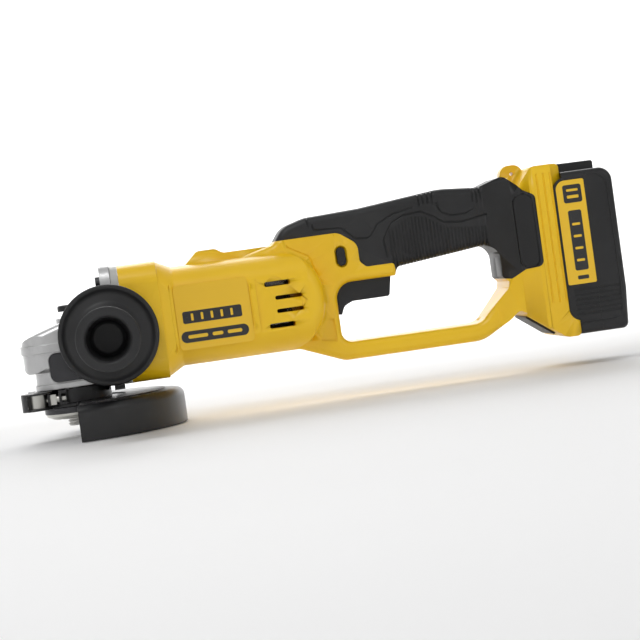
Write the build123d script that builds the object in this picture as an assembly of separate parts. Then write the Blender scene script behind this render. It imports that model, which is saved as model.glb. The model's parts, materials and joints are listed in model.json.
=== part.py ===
from build123d import *
import os
from math import acos, atan2, cos, pi, radians, sin, sqrt, tan

# Cordless angle grinder with a closed hand loop. Millimetres, +Z up.
# Origin on the spindle axis at the disc seat; the tool runs back along +X, its left side is -Y.

# driving dimensions
motor_z = 52.5            # height of the motor axis over the disc seat
flange_x = 27.0           # front face of the gear case's rear flange
flange_t = 6.8            # thickness of that flange
adapter_t = 4.9           # light ring between gear case and housing
collar_half = 38.0        # half width of the housing's front collar
barrel_half = 34.0        # half width of the motor barrel
web_half = 18.0           # half width of the web, grip and bar
foot_half = 37.0          # half width of the foot and of the battery pack
foot_top = 118.5          # top of the foot
foot_rear = 337.0         # rear face of the foot
foot_front = 304.0        # where the foot's side walls begin
foot_low = 3.2            # underside of the foot
foot_slope_x = 327.5      # rear end of the sloped lower edge
foot_slope_z = 21.0       # front end of the sloped lower edge
battery_rear = 371.5      # rear face of the battery pack
wall = 2.6                # housing wall
skin = 2.4                # thickness of the soft overmould
head_half = 29.0          # half width of the gear case
guard_r = 72.0            # outer radius of the guard
guard_top = 6.5           # top of the guard plate
guard_t = 1.8             # sheet thickness of the guard
neck_r = 21.3             # neck of the bearing box
spindle_r = 7.0           # spindle end
handle_z = 47.7           # height of the side handle's axis
handle_r = 16.5           # side handle grip radius
handle_end = -150.0       # outer end of the side handle
stud_r = 4.0              # side handle stud
module = 1.1              # bevel gear module at the outer end
crown_teeth = 38
pinion_teeth = 10
armature_r = 17.8
can_r = 26.0

# named clearances
run = 0.05                # shaft in a hole, radial
fixed = 0.03              # a seated piece in its pocket, radial
gap = 0.4                 # sliding bodies
tight = 0.25              # small moving bodies


def outline(points, radii):
    return make_face(Plane.XZ * FilletPolyline(*points, radius=radii, close=True))


def slab(points, radii, y0, y1):
    """Side outline in X and Z, given a width from y0 to y1."""
    body = extrude(outline(points, radii), amount=(y1 - y0) / 2, both=True)
    return Pos(0, (y0 + y1) / 2, 0) * body


def plan(points, radii, z0, z1):
    """Outline seen from above, given a height from z0 to z1."""
    face = make_face(Plane.XY * FilletPolyline(*points, radius=radii, close=True))
    body = extrude(face, amount=(z1 - z0) / 2, both=True)
    return Pos(0, 0, (z0 + z1) / 2) * body


def block(x0, x1, y0, y1, z0, z1):
    return Pos((x0 + x1) / 2, (y0 + y1) / 2, (z0 + z1) / 2) * Box(x1 - x0, y1 - y0, z1 - z0)


def round_x(half, z0, z1, radius, x0, x1):
    """Rounded rectangle across the tool, run along X."""
    place = Plane(origin=(x0, 0, (z0 + z1) / 2), x_dir=(0, 1, 0), z_dir=(1, 0, 0))
    return extrude(place * RectangleRounded(2 * half, z1 - z0, radius), amount=x1 - x0)


def disc_x(x0, x1, radius, y=0.0, z=motor_z):
    return Pos((x0 + x1) / 2, y, z) * Rot(0, 90, 0) * Cylinder(radius, x1 - x0)


def disc_y(y0, y1, radius, x, z):
    return Pos(x, (y0 + y1) / 2, z) * Rot(90, 0, 0) * Cylinder(radius, y1 - y0)


def disc_z(z0, z1, radius, x=0.0, y=0.0):
    return Pos(x, y, (z0 + z1) / 2) * Cylinder(radius, z1 - z0)


def ring_x(x0, x1, inner, outer, y=0.0, z=motor_z):
    return disc_x(x0, x1, outer, y, z) - disc_x(x0 - 1, x1 + 1, inner, y, z)


def ring_z(z0, z1, inner, outer, x=0.0, y=0.0):
    return disc_z(z0, z1, outer, x, y) - disc_z(z0 - 1, z1 + 1, inner, x, y)


def turned_z(points, radii=0.0):
    """Half section (radius, height) turned about the spindle axis."""
    if radii:
        edge = FilletPolyline(*points, radius=radii, close=True)
    else:
        edge = Polyline(*points, close=True)
    return revolve(make_face(Plane.XZ * edge), Axis.Z)


def both_sides(shape):
    return [shape, mirror(shape, Plane.XZ)]


def group(solids):
    """Separate solids that share one node."""
    return Compound(children=[s for piece in solids for s in piece.solids()])


def write(name, shape):
    export_step(shape, f"parts/{name}.step")


# ---------------------------------------------------------------- bevel gears
pressure = radians(25)
crown_pitch_r = module * crown_teeth / 2
pinion_pitch_r = module * pinion_teeth / 2
cone = sqrt(crown_pitch_r ** 2 + pinion_pitch_r ** 2)
gear_face = 7.0
crown_add = 0.8 * module
pinion_add = 1.0 * module
root_gap = 0.3 * module
backlash = 0.22


def bevel_tooth(pitch_r, teeth, addendum, dedendum, thickness, angle):
    """One tooth about local Z, apex at the local origin, cone opening downwards."""
    half = atan2(pitch_r, sqrt(cone ** 2 - pitch_r ** 2))
    back_r = pitch_r / cos(half)
    base_r = back_r * cos(pressure)

    def half_angle(radius):
        if radius <= base_r:
            radius = base_r
        roll = acos(base_r / radius)
        here = tan(roll) - roll
        return thickness / (2 * back_r) + (tan(pressure) - pressure) - here

    levels = [back_r - dedendum - 0.5, max(base_r, back_r - dedendum), back_r, back_r + addendum]
    if base_r < back_r - dedendum:
        levels[1] = back_r - dedendum / 2
    right = []
    for radius in levels:
        turn = half_angle(radius)
        right.append((radius * sin(turn), radius * cos(turn) - back_r))
    flat = right + [(-u, v) for u, v in reversed(right)]
    ends = []
    for share in (1.0, (cone - gear_face) / cone):
        corners = []
        for u, v in flat:
            out = pitch_r + v * cos(half)
            low = -sqrt(cone ** 2 - pitch_r ** 2) + v * sin(half)
            corners.append(Vector(out, u, low) * share)
        ends.append(make_face(Polyline(*corners, close=True)))
    return Rot(0, 0, angle) * loft(ends, ruled=True)


def gear_blank(pitch_r, dedendum, back, bore):
    """Body under the teeth: root cone, flat back and bore."""
    half = atan2(pitch_r, sqrt(cone ** 2 - pitch_r ** 2))
    out = pitch_r - dedendum * cos(half)
    low = -sqrt(cone ** 2 - pitch_r ** 2) - dedendum * sin(half)
    share = (cone - gear_face) / cone
    points = [(bore, low * share), (out * share, low * share), (out, low), (out, back), (bore, back)]
    return turned_z(points)


pitch_arc = pi * module
crown_tooth_t = 0.48 * pitch_arc - backlash / 2
pinion_tooth_t = 0.52 * pitch_arc - backlash / 2
lock_x = 3.0
lock_y = 10.0
lock_pin_r = 2.6
crown_bore = 6.0
crown_back = -15.5        # under the apex
pinion_bore = 2.2
pinion_back = -24.6
lock_hole_r = lock_pin_r + 0.6


def crown_gear():
    gear = gear_blank(crown_pitch_r, pinion_add + root_gap, crown_back, crown_bore + fixed)
    teeth = [
        bevel_tooth(crown_pitch_r, crown_teeth, crown_add, pinion_add + root_gap,
                    crown_tooth_t, i * 360 / crown_teeth)
        for i in range(crown_teeth)
    ]
    gear = gear + teeth
    gear = Pos(0, 0, motor_z) * gear
    reach = sqrt(lock_x ** 2 + lock_y ** 2)
    for i in range(4):
        angle = atan2(lock_y, lock_x) + i * pi / 2
        hole = disc_z(motor_z - 30, motor_z, lock_hole_r, reach * cos(angle), reach * sin(angle))
        gear = gear - hole
    return gear


def pinion():
    gear = gear_blank(pinion_pitch_r, crown_add + root_gap, pinion_back, pinion_bore + fixed)
    teeth = [
        bevel_tooth(pinion_pitch_r, pinion_teeth, pinion_add, crown_add + root_gap,
                    pinion_tooth_t, (i + 0.5) * 360 / pinion_teeth)
        for i in range(pinion_teeth)
    ]
    gear = gear + teeth
    # the cone opens downwards about Z, so it is laid over to open along +X
    return Pos(0, 0, motor_z) * Rot(0, -90, 0) * gear


# ---------------------------------------------------------------- gear head
case_low = 20.5           # parting face between gear case and bearing box
nose_low = 28.5           # underside of the forward nose
nose_x = -30.0
neck_x = -23.5            # front of the lower part, under the nose
gear_bore = 21.6
case_seat_z = 31.0        # top of the bearing box inside the case
gear_room_z = 50.0        # top of the room round the crown gear
top_race_r = 6.0          # needle bearing
top_race_z0 = 50.5
top_race_z1 = 57.2
journal_top_r = 4.0
front_race_r = 11.0       # bearing behind the pinion
front_race_x = 25.5
front_race_t = 7.0
shaft_r = 4.0
flange_low = 11.0
flange_high = 93.5
case_screw_y = 31.5
case_screw_high = 82.3
case_screw_low = 22.7
boss_r = 10.0
boss_y = 39.0             # side handle seat, either side
stud_depth = 19.0
lock_pad_z = 62.0
lock_pocket_z = 56.0
lock_spring_r = 4.3
insert_x0 = -13.0
insert_x1 = 16.5
insert_y = 25.0


def case_screw_places():
    return [(y, z) for y in (-case_screw_y, case_screw_y) for z in (case_screw_low, case_screw_high)]


def cover_inserts(grow=0.0):
    """Dark plates let into the two sides of the gear case."""
    points = [
        (insert_x0 - grow, 21.5 - grow), (insert_x1 + grow, 21.5 - grow),
        (insert_x1 + grow, 40.5 + grow), (insert_x0 - grow, 40.5 + grow),
    ]
    outer = -head_half - 5 if grow else -head_half + 0.6
    return both_sides(slab(points, [5, 5, 5, 5], outer, -insert_y - (0 if grow else fixed)))


def gear_case():
    half = head_half
    rear_x = flange_x + 1
    side = [(rear_x, nose_low), (nose_x, nose_low), (nose_x, 50), (-20, 54.5), (0, 60.5), (rear_x, 70)]
    upper = slab(side, [0, 4, 5, 8, 30, 0], -half, half)
    upper = fillet([e for e in upper.edges() if e.center().Z > 49 and abs(e.center().Y) > half - 1], 4.5)
    nose = [(flange_x + 1, -half), (flange_x + 1, half), (nose_x, half), (nose_x, -half)]
    upper = upper & plan(nose, [0, 0, 17, 17], nose_low - 1, 75)
    low_half = half - 2.5
    low = [(flange_x + 1, -low_half), (flange_x + 1, low_half), (neck_x, low_half), (neck_x, -low_half)]
    lower = plan(low, [0, 0, 15, 15], case_low, nose_low + 3)
    band_half = half + 0.9
    band = [(rear_x, -band_half), (rear_x, band_half), (nose_x - 1, band_half), (nose_x - 1, -band_half)]
    belt = plan(band, [0, 0, 17.5, 17.5], 41.5, 47)
    flange = round_x(collar_half + 0.5, flange_low, flange_high, 13, flange_x, flange_x + flange_t)
    case = upper + lower + belt + flange
    for side_y in (-1, 1):
        inner_y = side_y * (half - 3)
        low_y, high_y = sorted((inner_y, side_y * boss_y))
        case = case + disc_y(low_y, high_y, boss_r, 28, handle_z)
    case = case + disc_z(50, lock_pad_z, 9, lock_x, lock_y)
    case = case - block(flange_x + flange_t, 60, -60, 60, 0, 120)
    # inside
    case = case - disc_z(case_low - 1, gear_room_z, gear_bore)
    case = case - disc_z(gear_room_z - 1, top_race_z1, top_race_r + fixed)
    case = case - disc_x(11, front_race_x + 1, 7.9)
    case = case - disc_x(front_race_x, 60, front_race_r + fixed)
    case = case - disc_z(gear_room_z - 2, lock_pocket_z + 1, lock_pin_r + run, lock_x, lock_y)
    case = case - disc_z(lock_pocket_z, 90, lock_spring_r + 0.3, lock_x, lock_y)
    case = case - disc_z(lock_pad_z, 90, 8.0, lock_x, lock_y)
    for side_y in (-1, 1):
        a = side_y * (boss_y - stud_depth)
        b = side_y * (boss_y + 2)
        case = case - disc_y(min(a, b), max(a, b), stud_r + run, 28, handle_z)
    for y, z in case_screw_places():
        case = case - disc_x(flange_x - 2, flange_x + flange_t + 1, 2.6, y, z)
    for insert in cover_inserts(0.15):
        case = case - insert
    for x, y in box_screw_places():
        case = case - disc_z(case_low - 1, case_low + 7, 1.7, x, y)
    return case


def box_screw_places():
    return [(-15.5, 20.5), (-15.5, -20.5), (22, 20.5), (22, -20.5)]


box_plate_low = 17.0
low_race_r = 16.0         # lower spindle bearing 12 x 32 x 10
low_race_z0 = 21.0
low_race_z1 = 31.0
journal_r = 6.0
collar_r = 8.5
seal_r = 13.0
neck_low = 4.9


def bearing_box():
    half = head_half - 2.0
    edge = [(flange_x - 0.2, -half), (flange_x - 0.2, half), (neck_x - 1, half), (neck_x - 1, -half)]
    box = plan(edge, [4, 4, 15, 15], box_plate_low, case_low)
    box = box + disc_z(neck_low, box_plate_low + 1, neck_r)
    box = box + disc_z(case_low - 1, case_seat_z, gear_bore - fixed)
    box = box - disc_z(neck_low - 1, 40, collar_r + 0.5)
    box = box - disc_z(low_race_z0, 40, low_race_r + fixed)
    box = box - disc_z(box_plate_low, low_race_z0 + 1, seal_r + fixed)
    for x, y in box_screw_places():
        box = box - disc_z(box_plate_low - 1, case_low + 1, 1.9, x, y)
        box = box - disc_z(box_plate_low - 1, box_plate_low + 2.3, 3.4, x, y)
    return box


def ball_bearing_z(z0, z1, inner, outer):
    """Two races and a ball row as one sealed unit each."""
    mid = (inner + outer) / 2
    span = outer - inner
    unit = ring_z(z0, z1, inner, outer)
    unit = unit - ring_z(z0 - 1, z0 + 0.6, mid - span * 0.22, mid + span * 0.22)
    unit = unit - ring_z(z1 - 0.6, z1 + 1, mid - span * 0.22, mid + span * 0.22)
    return unit


def ball_bearing_x(x0, x1, inner, outer):
    flat = ball_bearing_z(0, x1 - x0, inner, outer)
    return Pos(x0, 0, motor_z) * Rot(0, 90, 0) * flat


def cap_screw_x(x0, x1, radius, head_r, head_t, y, z):
    """Socket screw along X, head towards -X."""
    screw = disc_x(x0, x1, radius, y, z) + disc_x(x0 - head_t, x0, head_r, y, z)
    return screw - disc_x(x0 - head_t - 1, x0 - head_t * 0.4, head_r * 0.5, y, z)


def box_screws():
    screws = []
    for x, y in box_screw_places():
        head_z = box_plate_low + 2.2
        screw = disc_z(head_z - 1.9, head_z, 3.2, x, y) + disc_z(head_z - 0.5, case_low + 6, 1.6, x, y)
        screw = screw - disc_z(head_z - 3, head_z - 1.0, 1.5, x, y)
        screws.append(screw)
    return group(screws)


def case_screws():
    end = collar_x0 + 16
    return group([
        cap_screw_x(flange_x, end, 2.3, 3.6, 3.0, y, z)
        for y, z in case_screw_places()
    ])


# ---------------------------------------------------------------- spindle
seat_t = 4.0
seat_r = 21.2
pilot_r = 11.1
pilot_t = 1.4
spindle_low = -9.4
spindle_high = motor_z + 4.3
nut_t = 3.9


def spindle():
    shaft = disc_z(spindle_low, seat_t + 1, spindle_r)
    shaft = shaft + disc_z(seat_t, low_race_z0, collar_r)
    shaft = shaft + disc_z(low_race_z0 - 1, motor_z + crown_back + 11.5, journal_r)
    shaft = shaft + disc_z(motor_z + crown_back + 10, spindle_high, journal_top_r)
    shaft = chamfer(shaft.edges().group_by(Axis.Z)[0], 0.9)
    flats = block(-20, -5.4, -20, 20, seat_t - 3, seat_t) + block(5.4, 20, -20, 20, seat_t - 3, seat_t)
    shaft = shaft - flats
    ring = disc_z(circlip_z0, circlip_z0 + 1.0, journal_r + 1) - disc_z(0, 90, journal_r - 0.5)
    return shaft - ring


circlip_z0 = 31.6


def circlip():
    ring = ring_z(circlip_z0 + 0.05, circlip_z0 + 0.95, journal_r - 0.45, journal_r + 2.2)
    return ring - block(0, 20, -1.6, 1.6, 20, 50)


def inner_flange():
    flange = ring_z(0, seat_t - 0.1, spindle_r + fixed, seat_r)
    flange = flange + ring_z(-pilot_t, 0.5, spindle_r + fixed, pilot_r)
    flange = flange - ring_z(-1, 0.7, pilot_r + 3, seat_r - 3.5)
    flange = flange - (disc_z(seat_t - 3, seat_t, spindle_r + fixed + 0.01))
    web = block(-20, -5.4 - fixed, -6, 6, seat_t - 2.8, seat_t - 0.1)
    web = (web + mirror(web, Plane.YZ)) & disc_z(0, seat_t - 0.1, spindle_r + 1)
    return flange + web


def clamp_nut():
    nut = turned_z([
        (spindle_r + run, 0), (spindle_r + run, -nut_t), (15.5, -nut_t), (20.3, -1.6), (20.3, 0),
    ])
    nut = nut - disc_z(-pilot_t - 0.2, 1, pilot_r + 0.2)
    for i in range(4):
        angle = i * pi / 2 + pi / 4
        nut = nut - disc_z(-nut_t - 1, -nut_t + 2.2, 2.4, 14.2 * cos(angle), 14.2 * sin(angle))
    return nut


def lock_button():
    cap_z = lock_pad_z + 4.4
    pin = disc_z(48.5, cap_z + 1, lock_pin_r, lock_x, lock_y)
    cap = disc_z(cap_z, cap_z + 4.2, 6.9, lock_x, lock_y)
    cap = fillet(cap.edges().group_by(Axis.Z)[-1], 1.6)
    return pin, cap - disc_z(cap_z - 1, cap_z + 1, lock_pin_r, lock_x, lock_y)


def coil_z(z0, z1, radius, wire, turns, x, y):
    """Spring as a helix with its ends just inside z0 and z1."""
    rise = z1 - z0 - 2 * wire - 0.1
    path = Pos(x, y, z0 + wire + 0.05) * Helix(pitch=rise / turns, height=rise, radius=radius)
    start = Plane(origin=path @ 0, z_dir=path % 0)
    return sweep(start * Circle(wire), path)


# ---------------------------------------------------------------- guard and its clamp
lip_z = -16.8
skirt_in = guard_r - guard_t
band_r0 = 22.95
band_r1 = 24.5
pivot_x = -24.0
pivot_y = -29.5
clamp_z = 10.8
barrel_r = 6.4
lever_pin_r = 1.6


def guard_shell():
    section = [
        (band_r0, guard_top), (guard_r, guard_top), (guard_r, lip_z), (guard_r - 4.2, lip_z),
        (guard_r - 4.2, lip_z + 1.4), (skirt_in, lip_z + 1.4), (skirt_in, guard_top - guard_t),
        (band_r0, guard_top - guard_t),
    ]
    shell = turned_z(section, [0, 5, 1.2, 0.6, 0.6, 0.6, 3.2, 0])
    shell = shell - block(-90, 2, -90, 90, -30, 20)
    front = ring_z(guard_top - guard_t, guard_top, band_r0, band_r1 + 1.6) & block(-40, 2, -40, 40, 0, 20)
    step = turned_z([(34, guard_top - 0.2), (60, guard_top - 0.2), (60, guard_top + 0.9), (34, guard_top + 0.9)])
    step = step & block(4, 90, -90, 90, 0, 20)
    return shell + front + step


def guard_collar():
    collar = ring_z(guard_top - guard_t, 16.5, neck_r + run, band_r0)
    for i in range(6):
        angle = radians(20 + 60 * i)
        lug = disc_z(15.2, 17, 1.6, (neck_r + 0.6) * cos(angle), (neck_r + 0.6) * sin(angle))
        collar = collar - lug
    return collar


def clamp_band():
    band = ring_z(7.0, 16.0, band_r0, band_r1)
    band = band - block(-15.4, -9.6, -40, -10, 0, 20)
    near = block(-9.6, -4.5, pivot_y - 4.6, -22.4, 7, 16) - disc_x(-12, 0, 2.3, pivot_y, clamp_z)
    near = near - block(-8, -4, pivot_y - 6, -26, 8.6, 14.4)
    far = block(-17, -15.4, pivot_y - 4.6, -18.2, 7, 15) - disc_x(-20, -10, 2.3, pivot_y, clamp_z)
    cut = disc_z(0, 20, band_r0)
    clamp = band + (near - cut) + (far - cut)
    return clamp - disc_x(-8.1, -5.0, 2.9, pivot_y, clamp_z)


def clamp_screw():
    rod = disc_x(pivot_x + 4, -5.2, 2.0, pivot_y, clamp_z)
    return rod + disc_x(-7.9, -5.2, 2.7, pivot_y, clamp_z)


def square_nut():
    nut = block(-15.2, -11.6, pivot_y - 3.3, pivot_y + 3.3, clamp_z - 3.3, clamp_z + 3.3)
    return nut - disc_x(-20, -5, 2.0 + fixed, pivot_y, clamp_z)


def clamp_barrel():
    barrel = disc_z(6.6, 15.0, barrel_r, pivot_x, pivot_y)
    barrel = barrel - disc_x(pivot_x + 3.9, 0, 2.0 + fixed, pivot_y, clamp_z)
    return barrel - disc_z(0, 20, lever_pin_r + fixed, pivot_x, pivot_y)


def lever_pin():
    return disc_z(4.7, 16.9, lever_pin_r, pivot_x, pivot_y)


def clamp_lever():
    head_r = 10.2
    cheeks = disc_z(5.0, 6.35, head_r, pivot_x, pivot_y) + disc_z(15.25, 16.6, head_r, pivot_x, pivot_y)
    wall_ring = ring_z(5.0, 16.6, barrel_r + tight, head_r, pivot_x, pivot_y)
    wedge = Pos(pivot_x, pivot_y, 0) * extrude(
        make_face(Polyline((0, 0), (-4, 22), (-30, 22), (-30, -22), (-13, -18), close=True)), amount=30
    )
    arm = ring_z(5.0, 16.6, 26.4, 30.6)
    arm = arm - ring_z(7.4, 14.2, 28.0, 40)
    reach = extrude(make_face(Polyline((0, 0), (-60, -57), (-60, 14), close=True)), amount=30)
    arm = arm & reach
    lever = cheeks + (wall_ring & wedge) + arm
    lever = lever - disc_z(6.35, 15.25, barrel_r + tight, pivot_x, pivot_y)
    return lever - disc_z(0, 20, lever_pin_r + run, pivot_x, pivot_y)


# ---------------------------------------------------------------- side handle
washer_t = 1.6
handle_x = 28.0
hand_flange_r = 32.75


def turned_y(points, radii):
    """Half section (radius, distance along -Y) turned about the side handle's axis."""
    edge = FilletPolyline(*[(r, d) for r, d in points], radius=radii, close=True)
    body = revolve(make_face(Plane.XZ * edge), Axis.Z)
    return Pos(handle_x, 0, handle_z) * Rot(90, 0, 0) * body


def handle_grip():
    base = boss_y + washer_t
    end = -handle_end
    points = [
        (0, base), (12.5, base), (12.5, base + 4.2), (hand_flange_r, base + 5.2),
        (hand_flange_r, base + 9.0), (20, base + 10.5), (handle_r - 1.5, base + 18),
        (handle_r + 1.2, base + 55), (handle_r - 1, end - 14), (19.7, end - 4), (19.7, end), (0, end),
    ]
    grip = turned_y(points, [0, 1, 2, 1.4, 1.4, 8, 10, 40, 10, 3, 1.8, 0])
    hollow = turned_y([(0, end - 30), (10, end - 30), (13.2, end + 1), (0, end + 1)], [0, 2, 0, 0])
    grip = grip - hollow
    return grip - disc_y(-base - 26, 0, stud_r + fixed, handle_x, handle_z)


def handle_stud():
    base = boss_y + washer_t
    return disc_y(-base - 25.5, -boss_y + stud_depth - 1.5, stud_r, handle_x, handle_z)


def handle_washer():
    low = -boss_y - washer_t + 0.05
    washer = disc_y(low, -boss_y - 0.05, 11.0, handle_x, handle_z)
    return washer - disc_y(low - 1, 0, stud_r + run, handle_x, handle_z)


# ---------------------------------------------------------------- housing
adapter_x = flange_x + flange_t + 0.2
collar_x0 = adapter_x + adapter_t + 0.1
collar_x1 = 64.0
collar_low = 14.0
collar_high = 91.3
barrel_x1 = 172.0
barrel_low = 19.8
barrel_high = 85.8
loop_x0 = 181.0
loop_low = 20.0
bar_low = 8.0
pack_x = 331.0            # front edge of the pack's side wings
wing_low = 13.0
wing_high = 108.5
fan_room_r = 31.5
handle_round = 4.5
slide_half = 22.0         # neck of the pack's slide
slide_head = 26.5
slide_x0 = 322.0


def adapter_ring():
    ring = round_x(collar_half, flange_low + 3, collar_high, 13, adapter_x, adapter_x + adapter_t)
    ring = ring - disc_x(adapter_x - 1, adapter_x + 10, fan_room_r - 3)
    for y, z in case_screw_places():
        ring = ring - disc_x(adapter_x - 1, adapter_x + 10, 2.6, y, z)
    return ring


def front_collar():
    straight = round_x(collar_half, collar_low, collar_high, 14, collar_x0, collar_x1)
    low = Plane(origin=(collar_x1, 0, (collar_low + collar_high) / 2), x_dir=(0, 1, 0), z_dir=(1, 0, 0))
    high = Plane(origin=(75, 0, (barrel_low + barrel_high) / 2), x_dir=(0, 1, 0), z_dir=(1, 0, 0))
    taper = loft([
        low * RectangleRounded(2 * collar_half - 2, collar_high - collar_low - 1.5, 14),
        high * RectangleRounded(2 * barrel_half - 2, barrel_high - barrel_low - 1, 20),
    ])
    return straight, taper


def barrel():
    tube = round_x(barrel_half, barrel_low, barrel_high, 22, 66, barrel_x1)
    side = [(60, barrel_low), (60, barrel_high), (barrel_x1, barrel_high), (barrel_x1, barrel_low)]
    profile = slab(side, [0, 0, 31, 31], -barrel_half, barrel_half)
    rear = [e for e in profile.edges() if e.center().X > 142 and abs(e.center().Y) > barrel_half - 1]
    return tube & fillet(rear, 9)


def spine():
    points = [
        (80, 80), (84, 85.5), (93, 93.8), (105, 93.8), (110, 90.5), (143.5, 90.5), (160, 80),
    ]
    return slab(points, [0, 2, 4, 4, 6, 0, 0], -11.5, 11.5)


def web_outline():
    """Side outline of web, grip and bar, outside edge only."""
    points = [
        (120, 40), (120, 86), (143.5, 91), (151, 101.5), (166, 105.8), (203, 107.2), (258, 112.6),
        (284, 110.2), (306, 114), (306, 40), (299, 21), (275, bar_low), (181, bar_low), (152, barrel_low),
        (130, barrel_low),
    ]
    return points, [0, 0, 6, 14, 14, 0, 40, 30, 0, 0, 12, 22, 12, 10, 0]


def loop_outline():
    points = [
        (loop_x0, loop_low), (loop_x0, 59.5), (222, 59.5), (224, 65), (260, 68.6), (292.5, 72), (292.5, 48.5),
        (296, 45), (295, 40.5), (275, loop_low),
    ]
    return points, [7, 11, 1, 3, 60, 10, 1, 1.5, 2, 12]


def flare_outline():
    points = [
        (286, 110.5), (300, 115.2), (312, 104), (322, 92), (322, 12), (300, 25), (292, 18), (276, 12), (286, 60),
    ]
    return points, [0, 5, 2, 0, 0, 3, 14, 0, 0]


def shoulder_plan(inset, x_end=322.0):
    """Half widths of the shoulder between grip and foot, seen from above."""
    right = [
        (268, web_half - 6 - inset), (286, web_half - 0.5 - inset), (304, 28.4 - inset),
        (317, 35.4 - inset), (x_end, 35.6 - inset),
    ]
    left = [(x, -y) for x, y in reversed(right)]
    return plan(right + left, [0, 14, 14, 5, 0, 0, 5, 14, 14, 0], 0, 130)


def handle_block(inset=0.0):
    """Web, grip, bar and shoulder; inset shrinks every outer face."""
    loop = outline(*loop_outline())
    grip = outline(*web_outline()) - loop
    shoulder = outline(*flare_outline()) - loop
    if inset:
        grip = offset(grip, amount=-inset)
        shoulder = offset(shoulder, amount=-inset)
    half = web_half - inset
    body = extrude(grip, amount=half, both=True)
    if not inset:
        rims = [
            e for e in body.edges()
            if 144 < e.center().X < 305 and abs(e.center().Y) > half - 0.1
        ]
        body = fillet(rims, handle_round)
    return body + (extrude(shoulder, amount=60, both=True) & shoulder_plan(inset))


def foot_side(x0, x1):
    return [
        (x0, foot_slope_z), (x0, 100), (x0 + 14, foot_top), (x1, foot_top), (x1, foot_low),
        (foot_slope_x, foot_low),
    ]


def foot_block():
    """Foot with its tab, narrower in front of the pack's wings."""
    body = slab(foot_side(foot_front, foot_rear), [0, 4, 5, 3, 3, 6], -foot_half, foot_half)
    body = body & plan([
        (303, -28), (317, -35.5), (foot_rear, -foot_half), (foot_rear, foot_half), (317, 35.5), (303, 28),
    ], [0, 8, 0, 0, 8, 0], 0, 130)
    tab = slab([(302.5, 100), (302.5, 122), (316.5, 122), (322, 104)], [0, 6.5, 6.5, 0], -5, 5)
    body = body + tab - disc_y(-9, 9, 1.2, 310.5, 116)
    wing_cut = slab([(pack_x, wing_low), (pack_x, 140), (350, 140), (350, wing_low)], [8, 0, 0, 0], -60, 60)
    wing_cut = wing_cut - block(300, 360, -foot_half + 4, foot_half - 4, 0, 130)
    return body - wing_cut


def black_zone():
    """Side outline of everything that the soft overmould covers."""
    points = [
        (130, 93), (187, 93), (199, 84), (199, 72), (203, 68), (221.5, 68), (222.5, 62), (228, 50),
        (288, 50), (292, 47.5), (298, 46.5), (307, 51.5), (318.5, 52.5), (318.5, 99.5), (311.3, 103.8),
        (300, 117), (290, 125), (130, 125),
    ]
    return points, [0, 10, 8, 4, 4, 2, 0, 0, 0, 0, 2, 3, 4, 4, 0, 0, 0, 0]


def soft_zone():
    return slab(*black_zone(), -60, 60)


def soft_core():
    """Hard plastic under the soft overmould."""
    return handle_block(skin) & soft_zone()


def lock_off_oblong(grow, y0, y1):
    return oblong(lock_off_x0 - grow, lock_off_x1 + grow, lock_off_low - grow, lock_off_high + grow, y0, y1)


def outer_shape():
    straight, taper = front_collar()
    whole = straight + taper + barrel() + spine() + handle_block() + foot_block()
    return whole


label_x0 = 73.0
label_x1 = 122.0
label_low = 30.5
label_high = 73.0
label_t = 0.7
pad_x0 = 304.5
pad_x1 = 316.0
pad_low = 52.5
pad_high = 101.0
pad_proud = 0.9
pivot_pin_r = 2.5
trigger_x = 186.5
trigger_z = 62.0
trigger_half = 12.0
lock_off_x0 = 184.5
lock_off_x1 = 190.0
lock_off_low = 71.0
lock_off_high = 83.0
rear_race_r = 9.5
rear_race_x = 150.0
rear_race_t = 7.0
rear_journal_r = 3.0
can_x0 = 78.0
can_x1 = 132.0
screw_r = 1.6
shell_inset = skin + wall + 0.6
bumper_t = 1.5
bumper_half = 20.0


def oblong(x0, x1, z0, z1, y0, y1):
    radius = min(x1 - x0, z1 - z0) / 2 - 0.01
    return slab([(x0, z0), (x1, z0), (x1, z1), (x0, z1)], [radius] * 4, y0, y1)


def label_plate(grow, y0, y1):
    points = [
        (label_x0 - grow, label_low - grow), (label_x1 + grow, label_low - grow),
        (label_x1 + grow, label_high + grow), (label_x0 - grow, label_high + grow),
    ]
    return slab(points, [3, 3, 3, 3], y0, y1)


def label_plates():
    plate = label_plate(0, -barrel_half + 0.1, -barrel_half + 0.1 + label_t)
    return group(both_sides(plate))


def side_pad_zone():
    return oblong(pad_x0, pad_x1, pad_low, pad_high, -60, 60)


def side_pad():
    """Raised oblong pad on one shoulder."""
    pad = side_pad_zone() & (shoulder_plan(-pad_proud) - shoulder_plan(1.4))
    return pad & block(290, 330, -60, 0, 0, 130)


def vent_slots():
    """Air slots through both walls of the barrel, in a recess."""
    slots = []
    rows = ((64, 67.2, 133, 150), (54.8, 57.4, 139, 157), (46, 48.6, 139, 157), (36.4, 39.6, 133, 150))
    for z0, z1, x0, x1 in rows:
        slots.append(slab([(x0, z0), (x1, z0), (x1, z1), (x0, z1)], [1.2] * 4, -50, -16))
    return slots


def vent_recess():
    points = [(127, 33), (141, 33), (160, 52), (160, 52.2), (141, 71.5), (127, 71.5)]
    return slab(points, [3, 12, 0, 0, 12, 3], -barrel_half - 1, -barrel_half + 1.3)


def housing_screw_places():
    """X, Z and the side face of each clamshell screw, all driven from the right."""
    return [
        (57, 17.8, collar_half), (57, 87.8, collar_half), (134, 86.5, 11.5),
        (176, 30, web_half), (286, 21.5, web_half - 0.4), (317.6, 22.5, foot_half - 2),
    ]


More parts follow.
